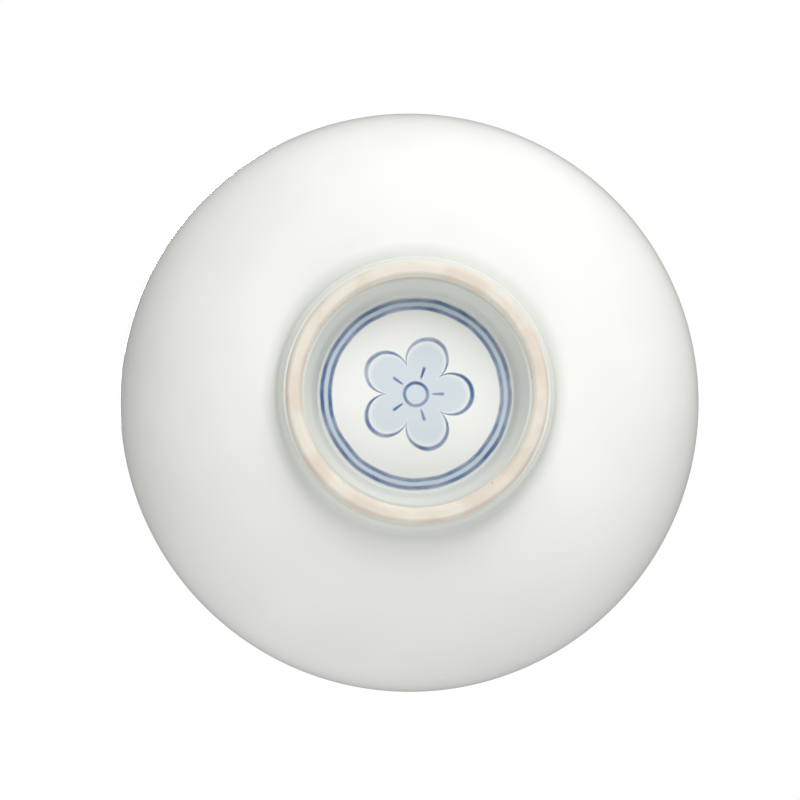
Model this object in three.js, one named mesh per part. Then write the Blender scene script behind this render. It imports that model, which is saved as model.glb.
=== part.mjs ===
// A round porcelain cup on a turned foot ring: the fired body, its glaze coats and the
// blue double ring painted in the foot well. Millimetres, +Z up, standing at z = 0.
import * as THREE from 'three';

// Outside of the glazed cup
const BELLY_RADIUS = 40;
const BELLY_Z = 29;
const MOUTH_RADIUS = 35;
const HEIGHT = 50;

// Wall of the fired body
const BELLY_WALL = 2.6;
const LIP_WALL = 1.5;
const FLOOR_THICKNESS = 3.6;

// Foot ring
const FOOT_ROOT_RADIUS = 18;
const FOOT_HEIGHT = 5.4;
const LAND_OUTER_RADIUS = 16.5;
const LAND_INNER_RADIUS = 15.5;
const LAND_CHAMFER = 0.4;

// Foot well, hollowed out inside the ring
const WELL_FLOOR_RADIUS = 12.9;
const WELL_CORNER = 0.4;
const WELL_DEPTH = 6;

// Glaze coat, which stops short of the bare land
const GLAZE = 0.35;
const GLAZE_STOP_Z = 0.9;
const GLAZE_EDGE = 0.5;

// Painted double ring, let into the glaze of the well
const PAINT_DEPTH = 0.15;
const OUTER_LINE_RADIUS = 12.3;
const INNER_LINE_RADIUS = 11.26;
const LINE_WIDTH = 0.5;

// Steps of the revolved profiles
const TURN_STEPS = 40;
const CURVE_STEPS = 6;
const LIP_STEPS = 2;

const point = (radius, z) => new THREE.Vector2(radius, z);

// Part of an ellipse round the axis at belly height, from one angle above the belly to another
function ellipseRun(beltRadius, halfHeight, from, to) {
  const run = [];
  for (let i = 0; i <= CURVE_STEPS; i += 1) {
    const angle = from + ((to - from) * i) / CURVE_STEPS;
    run.push(point(beltRadius * Math.cos(angle), BELLY_Z + halfHeight * Math.sin(angle)));
  }
  return run;
}

// Quarter of the round lip, from one angle to another, without its first point
function lipRun(from, to) {
  const run = [];
  for (let i = 1; i <= LIP_STEPS; i += 1) {
    const angle = from + ((to - from) * i) / LIP_STEPS;
    run.push(point(lipRadius + lipHalf * Math.cos(angle), lipZ + lipHalf * Math.sin(angle)));
  }
  return run;
}

// Ellipse that leaves the belly and reaches a radius at a height
function ellipseTo(beltRadius, radius, z) {
  const angle = Math.sign(z - BELLY_Z) * Math.acos(radius / beltRadius);
  return { angle, halfHeight: (z - BELLY_Z) / Math.sin(angle) };
}

// Point of a straight stretch at a height
function onLine(a, b, z) {
  return a.clone().lerp(b, (z - a.y) / (b.y - a.y));
}

// Places of the fired body that its curves start from
const lipHalf = LIP_WALL / 2;
const lipRadius = MOUTH_RADIUS - GLAZE - lipHalf;
const lipZ = HEIGHT - GLAZE - lipHalf;
const outerBelt = BELLY_RADIUS - GLAZE;
const innerBelt = outerBelt - BELLY_WALL;
const innerFloorZ = WELL_DEPTH + FLOOR_THICKNESS;

// Outside, from the foot's land up to the crest of the lip
const landOuter = point(LAND_OUTER_RADIUS, 0);
const outerArris = point(LAND_OUTER_RADIUS + LAND_CHAMFER, LAND_CHAMFER);
const footRoot = point(FOOT_ROOT_RADIUS, FOOT_HEIGHT);
const lowerOuter = ellipseTo(outerBelt, FOOT_ROOT_RADIUS, FOOT_HEIGHT);
const upperOuter = ellipseTo(outerBelt, lipRadius + lipHalf, lipZ);
const outerGlazed = [
  onLine(outerArris, footRoot, GLAZE_STOP_Z),
  onLine(outerArris, footRoot, GLAZE_STOP_Z + GLAZE_EDGE),
  ...ellipseRun(outerBelt, lowerOuter.halfHeight, lowerOuter.angle, 0),
  ...ellipseRun(outerBelt, upperOuter.halfHeight, 0, upperOuter.angle).slice(1),
  ...lipRun(0, Math.PI / 2),
];

// Inside, from the middle of the floor up to the crest of the lip
const upperInner = ellipseTo(innerBelt, lipRadius - lipHalf, lipZ);
const innerGlazed = [
  ...ellipseRun(innerBelt, BELLY_Z - innerFloorZ, -Math.PI / 2, 0),
  ...ellipseRun(innerBelt, upperInner.halfHeight, 0, upperInner.angle).slice(1),
  ...lipRun(Math.PI, Math.PI / 2),
];
innerGlazed[0].x = 0;

// Foot well, from its middle out and down to the bare land
const landInner = point(LAND_INNER_RADIUS, 0);
const innerArris = point(LAND_INNER_RADIUS - LAND_CHAMFER, LAND_CHAMFER);
const wellCorner = point(WELL_FLOOR_RADIUS + WELL_CORNER, WELL_DEPTH - WELL_CORNER);
const wellGlazed = [
  point(0, WELL_DEPTH),
  point(WELL_FLOOR_RADIUS, WELL_DEPTH),
  wellCorner,
  onLine(wellCorner, innerArris, GLAZE_STOP_Z + GLAZE_EDGE),
  onLine(wellCorner, innerArris, GLAZE_STOP_Z),
];

// Glaze surface over a profile of the body. side is +1 to the right of the profile's way
// and -1 to its left, and bare tells whether an end of the profile has no glaze on it.
function glazeOver(profile, side, bareStart, bareEnd) {
  const last = profile.length - 1;
  return profile.map((p, i) => {
    if ((bareStart && i === 0) || (bareEnd && i === last)) return p.clone();
    if (p.x === 0) return point(0, p.y + Math.sign(profile[last].y - p.y) * GLAZE);
    if (i === last) return point(p.x, p.y + GLAZE);
    const way = profile[i + 1].clone().sub(p).normalize();
    way.add(p.clone().sub(profile[i - 1]).normalize()).normalize();
    return point(p.x + side * GLAZE * way.y, p.y - side * GLAZE * way.x);
  });
}

const outerSurface = glazeOver(outerGlazed, 1, true, false);
const innerSurface = glazeOver(innerGlazed, -1, false, false);
const wellSurface = glazeOver(wellGlazed, 1, false, true);

// Radii of the painting and the depth of its groove
const wellFaceZ = WELL_DEPTH - GLAZE;
const paintRoofZ = wellFaceZ + PAINT_DEPTH;
const halfLine = LINE_WIDTH / 2;
const paintRadii = [
  INNER_LINE_RADIUS - halfLine,
  INNER_LINE_RADIUS + halfLine,
  OUTER_LINE_RADIUS - halfLine,
  OUTER_LINE_RADIUS + halfLine,
];

function revolve(name, profile, material) {
  const geometry = new THREE.LatheGeometry(profile, TURN_STEPS);
  geometry.rotateX(Math.PI / 2);
  const mesh = new THREE.Mesh(geometry, material);
  mesh.name = name;
  return mesh;
}

const fired = (color) => new THREE.MeshStandardMaterial({ color, roughness: 0.8, metalness: 0 });
const glassy = (color) => new THREE.MeshStandardMaterial({ color, roughness: 0.12, metalness: 0 });
const biscuit = fired(0xe8dfd0);
const clearGlaze = glassy(0xf4f5f0);
const wellGlaze = glassy(0xd6d7d0);
const cobalt = glassy(0x76879c);
const paleWash = glassy(0xa9b6c2);

// Thrown and turned body: underside, foot ring, outside, lip and inside in one profile
function porcelainBody() {
  const profile = [
    ...wellGlazed,
    innerArris,
    landInner,
    landOuter,
    outerArris,
    ...outerGlazed,
    ...innerGlazed.slice(0, -1).reverse(),
  ];
  return revolve('porcelain_body', profile, biscuit);
}

// Coat on the outside, from the foot to the crest of the lip
function outerGlaze() {
  const back = outerGlazed.slice().reverse();
  return revolve('outer_glaze', [...outerSurface, ...back], clearGlaze);
}

// Coat on the inside, which meets the outer coat at the crest of the lip
function innerGlaze() {
  const back = innerSurface.slice().reverse();
  return revolve('inner_glaze', [...innerGlazed, ...back], clearGlaze);
}

// Coat in the foot well, with the shallow groove that holds the painting
function footWellGlaze() {
  const groove = [
    point(paintRadii[0], wellFaceZ),
    point(paintRadii[0], paintRoofZ),
    point(paintRadii[1], paintRoofZ),
    point(paintRadii[2], paintRoofZ),
    point(paintRadii[3], paintRoofZ),
    point(paintRadii[3], wellFaceZ),
  ];
  const back = wellGlazed.slice(0, -1).reverse();
  const profile = [wellSurface[0], ...groove, ...wellSurface.slice(1), ...back];
  return revolve('foot_well_glaze', profile, wellGlaze);
}

// One painted ring between two neighbouring radii of the painting
function paintedRing(name, index, material) {
  const [inner, outer] = [paintRadii[index], paintRadii[index + 1]];
  const profile = [
    point(inner, wellFaceZ),
    point(outer, wellFaceZ),
    point(outer, paintRoofZ),
    point(inner, paintRoofZ),
    point(inner, wellFaceZ),
  ];
  return revolve(name, profile, material);
}

const cup = new THREE.Group();
cup.add(porcelainBody());
cup.add(outerGlaze());
cup.add(innerGlaze());
cup.add(footWellGlaze());
cup.add(paintedRing('inner_blue_ring', 0, cobalt));
cup.add(paintedRing('pale_blue_band', 1, paleWash));
cup.add(paintedRing('outer_blue_ring', 2, cobalt));

export default cup;
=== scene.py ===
import math

import bmesh
import bpy
from mathutils import Matrix, Vector


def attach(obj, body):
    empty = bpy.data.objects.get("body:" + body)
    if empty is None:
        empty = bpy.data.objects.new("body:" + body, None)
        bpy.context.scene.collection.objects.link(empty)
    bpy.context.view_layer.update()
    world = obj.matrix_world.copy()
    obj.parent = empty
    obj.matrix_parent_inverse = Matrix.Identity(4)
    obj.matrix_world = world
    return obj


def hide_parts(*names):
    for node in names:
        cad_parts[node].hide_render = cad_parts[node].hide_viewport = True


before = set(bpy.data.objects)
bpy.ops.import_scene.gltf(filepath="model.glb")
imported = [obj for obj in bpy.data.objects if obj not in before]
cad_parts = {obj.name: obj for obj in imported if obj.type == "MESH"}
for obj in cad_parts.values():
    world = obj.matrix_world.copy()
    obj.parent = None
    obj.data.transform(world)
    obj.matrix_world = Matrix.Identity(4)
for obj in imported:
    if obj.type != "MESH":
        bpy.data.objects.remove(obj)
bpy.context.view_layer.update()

# Camera
# The cup is seen from straight below, foot ring towards the lens, a little off its axis.
# Image right is +X and image up is -Y.
MM = 0.001
BELLY_Z = 29 * MM
EYE = Vector((-14.2 * MM, 18.8 * MM, -386 * MM))
AIM = Vector((-1.36 * MM, -0.28 * MM, BELLY_Z))
LENS_MM = 135
SENSOR_MM = 36
NEAREST = 10 * MM

camera_data = bpy.data.cameras.new("camera")
camera_data.lens = LENS_MM
camera_data.sensor_width = SENSOR_MM
camera_data.clip_start = NEAREST
camera = bpy.data.objects.new("camera", camera_data)
bpy.context.collection.objects.link(camera)
back = (EYE - AIM).normalized()
right = Vector((0, -1, 0)).cross(back).normalized()
up = back.cross(right)
camera.matrix_world = Matrix.Translation(EYE) @ Matrix((right, up, back)).transposed().to_4x4()
bpy.context.scene.camera = camera
bpy.context.scene.view_settings.view_transform = "Standard"
bpy.context.scene.cycles.use_denoising = True


# White surroundings
# Pure white to the lens, and dimmer as light, so that the white cup still shades.
def linear(hex_colour):
    """Linear RGBA of an sRGB hex colour."""
    channels = [int(hex_colour[i : i + 2], 16) / 255 for i in (0, 2, 4)]
    return [c / 12.92 if c <= 0.04045 else ((c + 0.055) / 1.055) ** 2.4 for c in channels] + [1]


def node(tree, kind, inputs=(), output=0, **settings):
    """Adds a node with its settings and returns one of its outputs. inputs is a list in the
    node's own order, or a dict by name or place: values are set, and outputs are linked."""
    made = tree.nodes.new("ShaderNode" + kind)
    for name, value in settings.items():
        setattr(made, name, value)
    for name, value in (inputs if isinstance(inputs, dict) else dict(enumerate(inputs))).items():
        if isinstance(value, bpy.types.NodeSocket):
            tree.links.new(value, made.inputs[name])
        else:
            made.inputs[name].default_value = value
    return made.outputs[output] if made.outputs else None


DOME_STRENGTH = 0.34
world = bpy.data.worlds.new("white surroundings")
world.use_nodes = True
bpy.context.scene.world = world
sky = world.node_tree
sky.nodes.clear()
seen = node(sky, "LightPath", output="Is Camera Ray")
strength = node(sky, "MapRange", {"Value": seen, "To Min": DOME_STRENGTH, "To Max": 1.0})
node(sky, "OutputWorld", [node(sky, "Background", [linear("FFFFFF"), strength])])

# Soft lights
# A large softbox over the photograph's upper edge, a weaker one at its right, cards at its left
# and lower edges, and two room lights high over the mouth for the views from above. Each has
# its place and width in millimetres, its power in watts and whether the glaze mirrors it.
SOFT_LIGHTS = {
    "upper_softbox": ((60, -340, -290), 330, 1.7, False),
    "right_softbox": ((380, -60, -20), 220, 0.32, False),
    "left_card": ((-380, 80, 0), 220, 0.14, False),
    "lower_card": ((-40, 330, -200), 220, 0.66, False),
    "room_key": ((-40, -60, 520), 120, 1.1, True),
    "room_fill": ((200, 130, 460), 120, 0.3, False),
}
for name, (place, width, watts, mirrored) in SOFT_LIGHTS.items():
    light = bpy.data.lights.new(name, "AREA")
    light.shape = "DISK"
    light.size = width * MM
    light.energy = watts
    lamp = bpy.data.objects.new(name, light)
    lamp.location = Vector(place) * MM
    lamp.visible_glossy = mirrored
    towards_cup = Vector((0, 0, BELLY_Z)) - lamp.location
    lamp.rotation_euler = towards_cup.to_track_quat("-Z", "Y").to_euler()
    bpy.context.collection.objects.link(lamp)

# Fired porcelain body
# The real piece is white porcelain, thrown and turned at the foot, then fired. Only the bare
# land of its foot ring shows. Sizes are in millimetres, and a profile is a list of points,
# each its distance from the axis and its height.
HEIGHT = 50
BELLY_RADIUS = 40
MOUTH_RADIUS = 35
BELLY_WALL = 2.6
LIP_WALL = 1.5
FLOOR_THICKNESS = 3.6
FOOT_ROOT_RADIUS = 18
FOOT_HEIGHT = 5.4
ROOT_ROUND = 0.8
LAND_OUTER_RADIUS = 16.5
LAND_INNER_RADIUS = 15.5
LAND_CHAMFER = 0.4
LAND_ROUND = 0.2
WELL_FLOOR_RADIUS = 12.9
WELL_CORNER = 0.4
WELL_DEPTH = 6
GLAZE = 0.35
GLAZE_STOP_Z = 0.9
GLAZE_EDGE = 0.35
TURN_STEPS = 240
CURVE_STEPS = 36
CORNER_STEPS = 6
SHARP_DEGREES = 35

lip_half = LIP_WALL / 2
lip_radius = MOUTH_RADIUS - GLAZE - lip_half
lip_z = HEIGHT - GLAZE - lip_half
outer_belt = BELLY_RADIUS - GLAZE
inner_belt = outer_belt - BELLY_WALL
belly_z = BELLY_Z / MM


def ellipse_run(belt, half_height, start, end):
    """Part of an ellipse round the middle of the belly, from one angle to another."""
    angles = [start + (end - start) * i / CURVE_STEPS for i in range(CURVE_STEPS + 1)]
    return [(belt * math.cos(a), belly_z + half_height * math.sin(a)) for a in angles]


def ellipse_to(belt, radius, z):
    """Last angle and half height of the ellipse that leaves the belly and ends at a point."""
    angle = math.copysign(math.acos(radius / belt), z - belly_z)
    return angle, (z - belly_z) / math.sin(angle)


def lip_run(start, end):
    """Quarter of the round lip, without its first point."""
    angles = [start + (end - start) * (i + 1) / CORNER_STEPS for i in range(CORNER_STEPS)]
    return [(lip_radius + lip_half * math.cos(a), lip_z + lip_half * math.sin(a)) for a in angles]


def on_line(a, b, z):
    """Point at a height on the straight stretch from a to b."""
    share = (z - a[1]) / (b[1] - a[1])
    return (a[0] + (b[0] - a[0]) * share, z)


def rounded(before, corner, after, reach):
    """Round stretch that takes the place of a corner, as a quadratic curve."""

    def towards(target):
        length = math.dist(corner, target)
        return [corner[k] + (target[k] - corner[k]) * reach / length for k in (0, 1)]

    a, b = towards(before), towards(after)
    run = []
    for i in range(CORNER_STEPS + 1):
        t = i / CORNER_STEPS
        weights = ((1 - t) ** 2, 2 * t * (1 - t), t * t)
        run.append(
            tuple(weights[0] * a[k] + weights[1] * corner[k] + weights[2] * b[k] for k in (0, 1))
        )
    return run


outer_arris = (LAND_OUTER_RADIUS + LAND_CHAMFER, LAND_CHAMFER)
inner_arris = (LAND_INNER_RADIUS - LAND_CHAMFER, LAND_CHAMFER)
foot_root = (FOOT_ROOT_RADIUS, FOOT_HEIGHT)
lower_angle, lower_half = ellipse_to(outer_belt, FOOT_ROOT_RADIUS, FOOT_HEIGHT)
upper_angle, upper_half = ellipse_to(outer_belt, lip_radius + lip_half, lip_z)
lower_wall = ellipse_run(outer_belt, lower_half, lower_angle, 0)
outer_profile = [
    on_line(outer_arris, foot_root, GLAZE_STOP_Z),
    on_line(outer_arris, foot_root, GLAZE_STOP_Z + GLAZE_EDGE / 2),
    on_line(outer_arris, foot_root, GLAZE_STOP_Z + GLAZE_EDGE),
    *rounded(outer_arris, foot_root, lower_wall[2], ROOT_ROUND),
    *lower_wall[2:],
    *ellipse_run(outer_belt, upper_half, 0, upper_angle)[1:],
    *lip_run(0, math.pi / 2),
]

inner_floor_z = WELL_DEPTH + FLOOR_THICKNESS
inner_angle, inner_half = ellipse_to(inner_belt, lip_radius - lip_half, lip_z)
inner_profile = [
    (0, inner_floor_z),
    *ellipse_run(inner_belt, belly_z - inner_floor_z, -math.pi / 2, 0)[1:],
    *ellipse_run(inner_belt, inner_half, 0, inner_angle)[1:],
    *lip_run(math.pi, math.pi / 2),
]

well_corner = (WELL_FLOOR_RADIUS + WELL_CORNER / 2, WELL_DEPTH)
well_profile = [
    (0, WELL_DEPTH),
    *rounded((0, WELL_DEPTH), well_corner, inner_arris, WELL_CORNER),
    on_line(well_corner, inner_arris, GLAZE_STOP_Z + GLAZE_EDGE),
    on_line(well_corner, inner_arris, GLAZE_STOP_Z + GLAZE_EDGE / 2),
    on_line(well_corner, inner_arris, GLAZE_STOP_Z),
]
land_inner = (LAND_INNER_RADIUS, 0)
land_outer = (LAND_OUTER_RADIUS, 0)
land_profile = [
    inner_arris,
    *rounded(inner_arris, land_inner, land_outer, LAND_ROUND),
    *rounded(land_inner, land_outer, outer_arris, LAND_ROUND),
    outer_arris,
]


def revolve(name, profile, stands_for, material):
    """Smooth closed turning of a profile round the axis, in place of a node of the model."""
    mesh = bmesh.new()
    turns = [2 * math.pi * i / TURN_STEPS for i in range(TURN_STEPS)]
    rings = []
    for radius, z in profile:
        if radius == 0:
            rings.append([mesh.verts.new((0, 0, z * MM))] * TURN_STEPS)
            continue
        places = [(radius * MM * math.cos(a), radius * MM * math.sin(a), z * MM) for a in turns]
        rings.append([mesh.verts.new(place) for place in places])
    if profile[0][0] > 0:
        rings.append(rings[0])
    for low, high in zip(rings, rings[1:]):
        for i in range(TURN_STEPS):
            j = (i + 1) % TURN_STEPS
            corners = list(dict.fromkeys([low[i], low[j], high[j], high[i]]))
            if len(corners) > 2:
                mesh.faces.new(corners).smooth = True
    bmesh.ops.recalc_face_normals(mesh, faces=mesh.faces)
    data = bpy.data.meshes.new(name)
    mesh.to_mesh(data)
    mesh.free()
    data.set_sharp_from_angle(angle=math.radians(SHARP_DEGREES))
    data.materials.append(material)
    piece = bpy.data.objects.new(name, data)
    bpy.context.collection.objects.link(piece)
    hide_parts(stands_for)
    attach(piece, "root")


def new_material(name):
    """An empty material, its tree and the place on the cup in millimetres."""
    material = bpy.data.materials.new(name)
    material.use_nodes = True
    tree = material.node_tree
    tree.nodes.clear()
    place = node(tree, "TexCoord", output="Object")
    return material, tree, node(tree, "VectorMath", [place, [1 / MM] * 3], operation="MULTIPLY")


COAT_ROUGHNESS = 0.03
PORCELAIN_IOR = 1.5
RELIEF_MM = {"biscuit": 0.02, "glaze": 0.03}


def fire(tree, colour, roughness, height, relief_mm, coat=0.0):
    """Closes a material's tree with its relief and the shader of a fired surface."""
    relief = node(tree, "Bump", {"Height": height, "Distance": relief_mm * MM, "Strength": 1.0})
    surface = {
        "Base Color": colour,
        "Roughness": roughness,
        "IOR": PORCELAIN_IOR,
        "Coat Weight": coat,
        "Coat Roughness": COAT_ROUGHNESS,
        "Normal": relief,
    }
    node(tree, "OutputMaterial", [node(tree, "BsdfPrincipled", surface)])


# Biscuit: unglazed fired porcelain, turned and left bare. It is dry and matt, with fine grit,
# a few iron specks and a warmer tone where it flashed in the kiln. A fade is the pair of
# values that a MapRange node goes between. A Mix node has its share at 0, its colours at 6, 7.
SMOOTH = {"interpolation_type": "SMOOTHSTEP"}
MIX = {"data_type": "RGBA", "output": 2}
SOFT_DETAIL = 2.0
BISCUIT_ROUGHNESS = 0.75
FLASHING_MM = 6
FLASHING_FADE = (0.42, 0.62)
GRIT_MM = 0.12
GRIT_DETAIL = 4.0
SPECKS_PER_MM = 0.45
SPECK_FADE = (0.03, 0.09)
SPECK_STRENGTH = 0.55

biscuit, tree, place = new_material("unglazed biscuit porcelain")
flashing = {"Vector": place, "Scale": 1 / FLASHING_MM, "Detail": SOFT_DETAIL}
flashing = node(tree, "TexNoise", flashing)
flashing = node(tree, "MapRange", [flashing, *FLASHING_FADE], **SMOOTH)
colour = node(tree, "Mix", {0: flashing, 6: linear("E8E2D5"), 7: linear("E1D6C7")}, **MIX)
speck = node(tree, "TexVoronoi", {"Vector": place, "Scale": SPECKS_PER_MM}, "Distance")
speck = node(tree, "MapRange", [speck, *SPECK_FADE, SPECK_STRENGTH, 0.0], **SMOOTH)
colour = node(tree, "Mix", {0: speck, 6: colour, 7: linear("8A6A52")}, **MIX)
grit = node(tree, "TexNoise", {"Vector": place, "Scale": 1 / GRIT_MM, "Detail": GRIT_DETAIL})
fire(tree, colour, BISCUIT_ROUGHNESS, grit, RELIEF_MM["biscuit"])

body_profile = [*well_profile, *land_profile, *outer_profile, *reversed(inner_profile[:-1])]
revolve("fine_porcelain_body", body_profile, "porcelain_body", biscuit)

# Clear glaze outside and inside
# A gloss coat dipped over the white body. It is faintly green and darker where it pools in the
# angle of the foot: partly the glaze's own tint, partly painted shade in that angle. Its skin has
# a soft waviness, fine turning rings and a few pinholes.
GLAZE_ROUGHNESS = 0.09
GLAZE_COAT = 0.4
ORANGE_PEEL_MM = 3.5
PINHOLE_MM = 14
PINHOLE_FADE = (0.008, 0.02)
PINHOLE_STRENGTH = 0.5
CLOUD_MM = 16
CLOUD_FADE = (0.35, 0.7)
CLOUD_STRENGTH = 0.35
TURNING_RING_MM = 2.2
TURNING_RING_SHARE = 0.05
POOL_AND_SHADE_FADE = (0.2, 2.4)
POOL_AND_SHADE_HEIGHT_FADE = (8.5, 7.0)
POOL_AND_SHADE_STRENGTH = 0.75
ROUND_EDGE = (0, 0.8)  # shares of the coat's thickness at its edge and one step in


def glaze_over(profile, side, bare_start, bare_end):
    """Glaze surface over a profile of the body, side +1 to the right of its way."""
    surface = []
    last = len(profile) - 1
    for i, (radius, z) in enumerate(profile):
        from_edge = min(i if bare_start else last, last - i if bare_end else last)
        thickness = GLAZE * ROUND_EDGE[from_edge] if from_edge < len(ROUND_EDGE) else GLAZE
        a = profile[max(i - 1, 0)]
        b = profile[min(i + 1, last)]
        length = math.dist(a, b)
        way = ((b[0] - a[0]) / length, (b[1] - a[1]) / length)
        if radius == 0:
            way = (1, 0)
        if i == last and not bare_end:
            way = (-side, 0)
        surface.append((radius + side * thickness * way[1], z - side * thickness * way[0]))
    return surface


clear_glaze, tree, place = new_material("clear gloss glaze on white porcelain")
height_over_foot = node(tree, "SeparateXYZ", [place], "Z")
flat_place = node(tree, "VectorMath", [place, (1, 1, 0)], operation="MULTIPLY")
radius = node(tree, "VectorMath", [flat_place], "Value", operation="LENGTH")
# Painted shade: the glaze is tinted darker and greener in the angle at the foot's root, where
# shade falls; partly real pooling of thick glaze.
from_root = node(tree, "Math", [radius, FOOT_ROOT_RADIUS], operation="SUBTRACT")
from_root = node(tree, "Math", [from_root], operation="ABSOLUTE")
near_root = node(tree, "MapRange", [from_root, *POOL_AND_SHADE_FADE, POOL_AND_SHADE_STRENGTH, 0.0], **SMOOTH)
below_wall = node(tree, "MapRange", [height_over_foot, *POOL_AND_SHADE_HEIGHT_FADE], **SMOOTH)
pooled_glaze_and_shade = node(tree, "Math", [near_root, below_wall], operation="MULTIPLY")
cloudy = {"Vector": place, "Scale": 1 / CLOUD_MM, "Detail": SOFT_DETAIL}
cloudy = node(tree, "TexNoise", cloudy)
cloudy = node(tree, "MapRange", [cloudy, *CLOUD_FADE, 0.0, CLOUD_STRENGTH], **SMOOTH)
colour = node(tree, "Mix", {0: cloudy, 6: linear("F6F6F2"), 7: linear("ECEDE8")}, **MIX)
# Painted shade with glaze pooling: darker green-grey in the angle at the foot's root.
colour = node(tree, "Mix", {0: pooled_glaze_and_shade, 6: colour, 7: linear("D8DCD3")}, **MIX)
pinhole = node(tree, "TexVoronoi", {"Vector": place, "Scale": 1 / PINHOLE_MM}, "Distance")
pinhole = node(tree, "MapRange", [pinhole, *PINHOLE_FADE, PINHOLE_STRENGTH, 0.0], **SMOOTH)
colour = node(tree, "Mix", {0: pinhole, 6: colour, 7: linear("B9A58C")}, **MIX)
turning = node(tree, "Math", [radius, 2 * math.pi / TURNING_RING_MM], operation="MULTIPLY")
turning = node(tree, "Math", [turning], operation="SINE")
turning = node(tree, "Math", [turning, TURNING_RING_SHARE], operation="MULTIPLY")
waviness = {"Vector": place, "Scale": 1 / ORANGE_PEEL_MM, "Detail": SOFT_DETAIL}
waviness = node(tree, "TexNoise", waviness)
skin = node(tree, "Math", [waviness, turning], operation="ADD")
fire(tree, colour, GLAZE_ROUGHNESS, skin, RELIEF_MM["glaze"], GLAZE_COAT)

outer_surface = glaze_over(outer_profile, 1, True, False)
outer_coat = [*outer_surface, *reversed(outer_profile)]
revolve("fine_outer_glaze", outer_coat, "outer_glaze", clear_glaze)
inner_surface = glaze_over(inner_profile, -1, False, False)
inner_coat = [*inner_profile, *reversed(inner_surface)]
revolve("fine_inner_glaze", inner_coat, "inner_glaze", clear_glaze)

# Foot well and its painting
# The well is glazed like the rest and painted with a soft brush: two cobalt lines with a pale
# wash between them, and a five-petalled blossom in the middle. Its corner round the floor is
# painted darker, partly glaze pooling and partly painted shade. One material paints the well
# and the three rings let into it, so that the brush runs on from one to the next.
OUTER_LINE_RADIUS = 12.3
INNER_LINE_RADIUS = 11.26
LINE_WIDTH = 0.5
LINE_SOFTNESS = 0.13
WASH_SOFTNESS = 0.2
WASH_STRENGTH = 0.6
PAINT_DEPTH = 0.15
BRUSH_WANDER_MM = 0.16
BRUSH_WANDER_EVERY_MM = 4
PIGMENT_PATCH_MM = 5
PIGMENT_DETAIL = 4.0
PIGMENT_FADE = (0.3, 0.7)
THINNEST_PIGMENT = 0.55
NOISE_MIDDLE = 0.5
WELL_ROUGHNESS = 0.1
WELL_CLOUD_MM = 9
WELL_CLOUD_STRENGTH = 0.4
WELL_POOL_AND_SHADE_FADE = (12.0, 13.6)
WELL_POOL_AND_SHADE_STRENGTH = 0.9

well_paint, tree, place = new_material("underglaze cobalt in clear glaze")
flat_place = node(tree, "VectorMath", [place, (1, 1, 0)], operation="MULTIPLY")
radius = node(tree, "VectorMath", [flat_place], "Value", operation="LENGTH")
wander = {"Vector": flat_place, "Scale": 1 / BRUSH_WANDER_EVERY_MM, "Detail": SOFT_DETAIL}
wander = node(tree, "TexNoise", wander)
wander = node(tree, "Math", [wander, NOISE_MIDDLE], operation="SUBTRACT")
wander = node(tree, "Math", [wander, 2 * BRUSH_WANDER_MM], operation="MULTIPLY")
brushed_radius = node(tree, "Math", [radius, wander], operation="ADD")
density = {"Vector": flat_place, "Scale": 1 / PIGMENT_PATCH_MM, "Detail": PIGMENT_DETAIL}
density = node(tree, "TexNoise", density)
density = node(tree, "MapRange", [density, *PIGMENT_FADE, THINNEST_PIGMENT, 1.0], **SMOOTH)


def brushed_ring(line_radius, full_to, none_from):
    """Share of pigment in a line round the axis, full and then none this far off its middle."""
    off = node(tree, "Math", [brushed_radius, line_radius], operation="SUBTRACT")
    off = node(tree, "Math", [off], operation="ABSOLUTE")
    return node(tree, "MapRange", [off, full_to, none_from, 1.0, 0.0], **SMOOTH)


half_line = LINE_WIDTH / 2
line_edges = (half_line - LINE_SOFTNESS, half_line + LINE_SOFTNESS)
inner_line = brushed_ring(INNER_LINE_RADIUS, *line_edges)
outer_line = brushed_ring(OUTER_LINE_RADIUS, *line_edges)
inner_line = node(tree, "Math", [inner_line, density], operation="MULTIPLY")
outer_line = node(tree, "Math", [outer_line, density], operation="MULTIPLY")
both_lines = node(tree, "Math", [inner_line, outer_line], operation="MAXIMUM")
wash_radius = (INNER_LINE_RADIUS + OUTER_LINE_RADIUS) / 2
wash = brushed_ring(wash_radius, LINE_WIDTH - WASH_SOFTNESS, LINE_WIDTH + WASH_SOFTNESS)
wash = node(tree, "Math", [wash, WASH_STRENGTH], operation="MULTIPLY")

# Blossom: five round petals in outline over a pale wash, a ring for its heart and a stamen
# in each petal. A stamen spreads sideways by the cosine of its turn within the petal.
PETALS = 5
PETAL_REACH = 7.4
PETAL_WAIST = 3.8
PETAL_ROUNDNESS = 0.6
PETAL_LINE_FADE = (0.12, 0.42)
PETAL_WASH_FADE = (-1.2, 0.1)
PETAL_WASH_STRENGTH = 0.45
BLOSSOM_HEART = 1.5
HEART_LINE_FADE = (0.1, 0.32)
STAMEN_RADIUS = 2.9
STAMEN_END_FADE = (0.5, 1.0)
STAMEN_SIDE_FADE = (0.93, 0.985)

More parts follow.
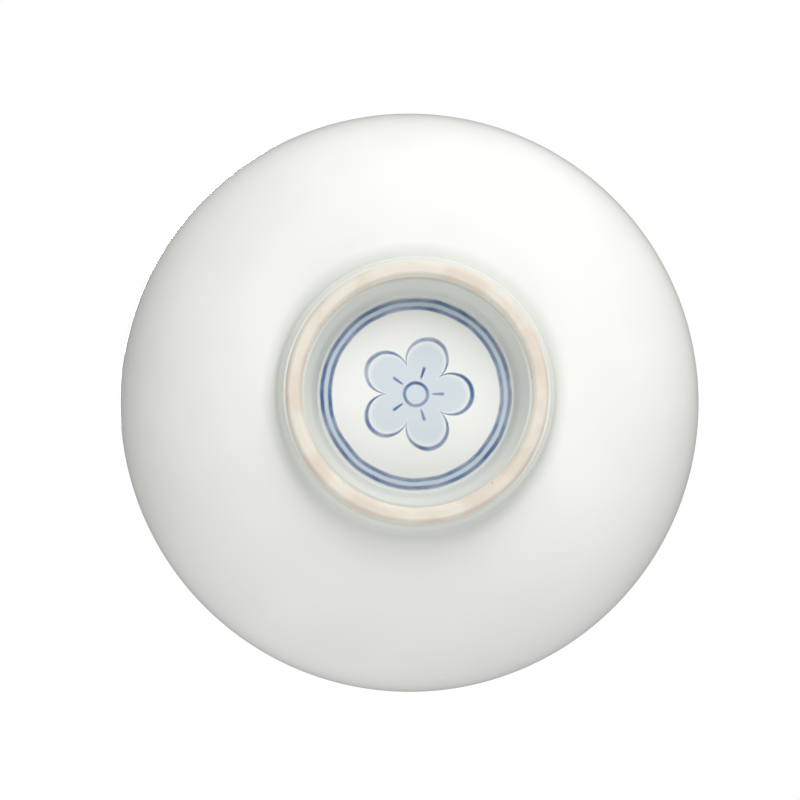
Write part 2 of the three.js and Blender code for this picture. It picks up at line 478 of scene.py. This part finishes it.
sideways = node(tree, "SeparateXYZ", [flat_place], "X")
upwards = node(tree, "SeparateXYZ", [flat_place], "Y")
angle = node(tree, "Math", [upwards, sideways], operation="ARCTAN2")
lobe = node(tree, "Math", [angle, PETALS / 2], operation="MULTIPLY")
lobe = node(tree, "Math", [lobe], operation="COSINE")
lobe = node(tree, "Math", [lobe], operation="ABSOLUTE")
lobe = node(tree, "Math", [lobe, PETAL_ROUNDNESS], operation="POWER")
petal_edge = node(tree, "Math", [lobe, PETAL_REACH - PETAL_WAIST], operation="MULTIPLY")
petal_edge = node(tree, "Math", [petal_edge, PETAL_WAIST], operation="ADD")
off_edge = node(tree, "Math", [brushed_radius, petal_edge], operation="SUBTRACT")
petal_line = node(tree, "Math", [off_edge], operation="ABSOLUTE")
petal_line = node(tree, "MapRange", [petal_line, *PETAL_LINE_FADE, 1.0, 0.0], **SMOOTH)
petal_wash = node(tree, "MapRange", [off_edge, *PETAL_WASH_FADE, 1.0, 0.0], **SMOOTH)
petal_wash = node(tree, "Math", [petal_wash, PETAL_WASH_STRENGTH], operation="MULTIPLY")
heart_line = brushed_ring(BLOSSOM_HEART, *HEART_LINE_FADE)
middle_of_petal = node(tree, "Math", [angle, PETALS], operation="MULTIPLY")
middle_of_petal = node(tree, "Math", [middle_of_petal], operation="COSINE")
middle_of_petal = node(tree, "MapRange", [middle_of_petal, *STAMEN_SIDE_FADE], **SMOOTH)
stamen = node(tree, "Math", [radius, STAMEN_RADIUS], operation="SUBTRACT")
stamen = node(tree, "Math", [stamen], operation="ABSOLUTE")
stamen = node(tree, "MapRange", [stamen, *STAMEN_END_FADE, 1.0, 0.0], **SMOOTH)
stamen = node(tree, "Math", [middle_of_petal, stamen], operation="MULTIPLY")
blossom = node(tree, "Math", [petal_line, heart_line], operation="MAXIMUM")
blossom = node(tree, "Math", [blossom, stamen], operation="MAXIMUM")
blossom = node(tree, "Math", [blossom, density], operation="MULTIPLY")

strokes = node(tree, "Math", [both_lines, blossom], operation="MAXIMUM")
pale = node(tree, "Math", [wash, petal_wash], operation="MAXIMUM")
milky = {"Vector": place, "Scale": 1 / WELL_CLOUD_MM, "Detail": SOFT_DETAIL}
milky = node(tree, "TexNoise", milky)
milky = node(tree, "MapRange", [milky, *CLOUD_FADE, 0.0, WELL_CLOUD_STRENGTH], **SMOOTH)
# Painted shade: the glaze darkens in the corner round the edge of the well floor, partly real
# pooling of glaze.
well_pool_and_shade = node(tree, "MapRange", [radius, *WELL_POOL_AND_SHADE_FADE, 0.0, WELL_POOL_AND_SHADE_STRENGTH], **SMOOTH)
colour = node(tree, "Mix", {0: milky, 6: linear("F2F3EF"), 7: linear("EAECE6")}, **MIX)
colour = node(tree, "Mix", {0: well_pool_and_shade, 6: colour, 7: linear("D0D4CD")}, **MIX)
colour = node(tree, "Mix", {0: pale, 6: colour, 7: linear("A9BFD6")}, **MIX)
colour = node(tree, "Mix", {0: strokes, 6: colour, 7: linear("456797")}, **MIX)
waviness = {"Vector": place, "Scale": 1 / ORANGE_PEEL_MM, "Detail": SOFT_DETAIL}
waviness = node(tree, "TexNoise", waviness)
fire(tree, colour, WELL_ROUGHNESS, waviness, RELIEF_MM["glaze"], GLAZE_COAT)

well_surface = glaze_over(well_profile, 1, False, True)
well_face_z = WELL_DEPTH - GLAZE
paint_roof_z = well_face_z + PAINT_DEPTH
paint_radii = [
    INNER_LINE_RADIUS - half_line,
    INNER_LINE_RADIUS + half_line,
    OUTER_LINE_RADIUS - half_line,
    OUTER_LINE_RADIUS + half_line,
]
groove = [
    (paint_radii[0], well_face_z),
    (paint_radii[0], paint_roof_z),
    (paint_radii[3], paint_roof_z),
    (paint_radii[3], well_face_z),
]
well_coat = [well_surface[0], *groove, *well_surface[1:], *reversed(well_profile[:-1])]
revolve("fine_foot_well_glaze", well_coat, "foot_well_glaze", well_paint)

PAINTED_RINGS = (
    ("inner_blue_ring", "cobalt_line"),
    ("pale_blue_band", "pale_wash"),
    ("outer_blue_ring", "cobalt_line"),
)
for index, (ring, slot) in enumerate(PAINTED_RINGS):
    inner, outer = paint_radii[index : index + 2]
    section = [
        (inner, well_face_z),
        (outer, well_face_z),
        (outer, paint_roof_z),
        (inner, paint_roof_z),
    ]
    revolve(f"fine_{ring}", section, ring, well_paint)

# Pale floor
# A plain matt sheet that the cup stands on. It shows from above only, so that the view from
# below passes through it, and it neither lights nor shades the cup.
FLOOR_HALF = 600 * MM
floor_mesh = bpy.data.meshes.new("floor")
corners = [(x * FLOOR_HALF, y * FLOOR_HALF, 0) for x, y in ((-1, -1), (1, -1), (1, 1), (-1, 1))]
floor_mesh.from_pydata(corners, [], [(0, 1, 2, 3)])
floor = bpy.data.objects.new("floor", floor_mesh)
bpy.context.collection.objects.link(floor)
paper, tree, _ = new_material("matt white paper")
behind = node(tree, "NewGeometry", output="Backfacing")
sheet = node(tree, "BsdfDiffuse", [linear("E9E9E7")])
clear = node(tree, "BsdfTransparent")
node(tree, "OutputMaterial", [node(tree, "MixShader", [behind, sheet, clear])])
floor_mesh.materials.append(paper)
floor.visible_diffuse = False
floor.visible_glossy = False
floor.visible_shadow = False
